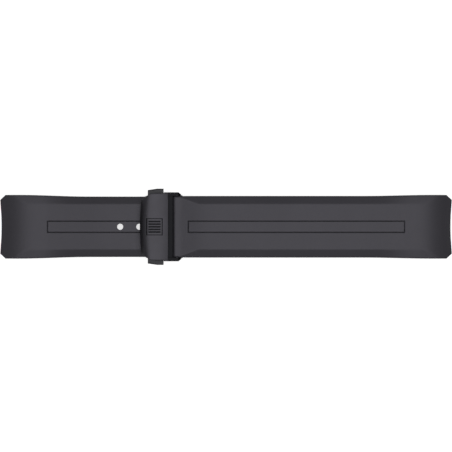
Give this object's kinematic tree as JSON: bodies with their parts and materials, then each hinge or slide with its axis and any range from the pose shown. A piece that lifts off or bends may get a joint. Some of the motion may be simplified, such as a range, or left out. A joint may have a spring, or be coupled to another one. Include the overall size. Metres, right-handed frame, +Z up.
{
  "type": "watch strap",
  "caption": "Black rubber watch strap in two halves, closed by a folding clasp with a rolled cover, two push buttons and hinged blades.",
  "frame": {"origin": "centre of the resting plane, halfway between the two case ends", "axes": "+X along the strap from the holed half's case end to the plain half's, +Y across it, +Z up out of the strap's outer face"},
  "size_m": [0.156, 0.0264, 0.0098],
  "materials": {
    "strap_rubber": "matte",
    "black_steel": "satin",
    "bare_steel": "satin"
  },
  "bodies": {
    "base": {"holed_strap": "strap_rubber", "clasp_base": "black_steel", "strap_stud": "bare_steel", "lower_blade": "black_steel", "lower_blade_rivets": "bare_steel", "hinge_pin": "bare_steel"},
    "cover": {"clasp_cover": "black_steel", "cover_badge": "black_steel", "spring_bridge": "bare_steel", "bridge_screws": "bare_steel", "upper_blade": "black_steel", "upper_blade_rivets": "bare_steel", "front_button_spring": "bare_steel", "rear_button_spring": "bare_steel"},
    "front_button": {"front_button": "black_steel", "front_latch_hook": "bare_steel", "front_guide_rod": "bare_steel"},
    "rear_button": {"rear_button": "black_steel", "rear_latch_hook": "bare_steel", "rear_guide_rod": "bare_steel"},
    "plain_strap": {"plain_strap": "strap_rubber", "spring_bar_tube": "bare_steel", "spring_bar_spring": "bare_steel"},
    "bar_tip_front": {"spring_bar_tip_front": "bare_steel"},
    "bar_tip_rear": {"spring_bar_tip_rear": "bare_steel"}
  },
  "joints": [
    {"name": "clasp_hinge", "type": "hinge", "parent": "base", "child": "cover", "pos_m": [0.014, 0, 0.0021], "axis": [0, 1, 0], "range_deg": [0, 150]},
    {"name": "plain_strap_pivot", "type": "hinge", "parent": "cover", "child": "plain_strap", "pos_m": [-0.0169, 0, 0.00575], "axis": [0, -1, 0], "range_deg": [0, 100]},
    {"name": "front_button", "type": "slide", "parent": "cover", "child": "front_button", "axis": [0, 1, 0], "range_m": [0, 0.0008], "stiffness_N_per_m": 800, "springref_m": -0.001, "deforming": ["front_button_spring"]},
    {"name": "rear_button", "type": "slide", "parent": "cover", "child": "rear_button", "axis": [0, -1, 0], "range_m": [0, 0.0008], "stiffness_N_per_m": 800, "springref_m": -0.001, "deforming": ["rear_button_spring"]},
    {"name": "spring_bar_tip_front", "type": "slide", "parent": "plain_strap", "child": "bar_tip_front", "axis": [0, 1, 0], "range_m": [0, 0.0008], "stiffness_N_per_m": 400, "springref_m": -0.001, "deforming": ["spring_bar_spring"]},
    {"name": "spring_bar_tip_rear", "type": "slide", "parent": "plain_strap", "child": "bar_tip_rear", "axis": [0, -1, 0], "range_m": [0, 0.0008], "stiffness_N_per_m": 400, "springref_m": -0.001, "deforming": ["spring_bar_spring"]}
  ]
}
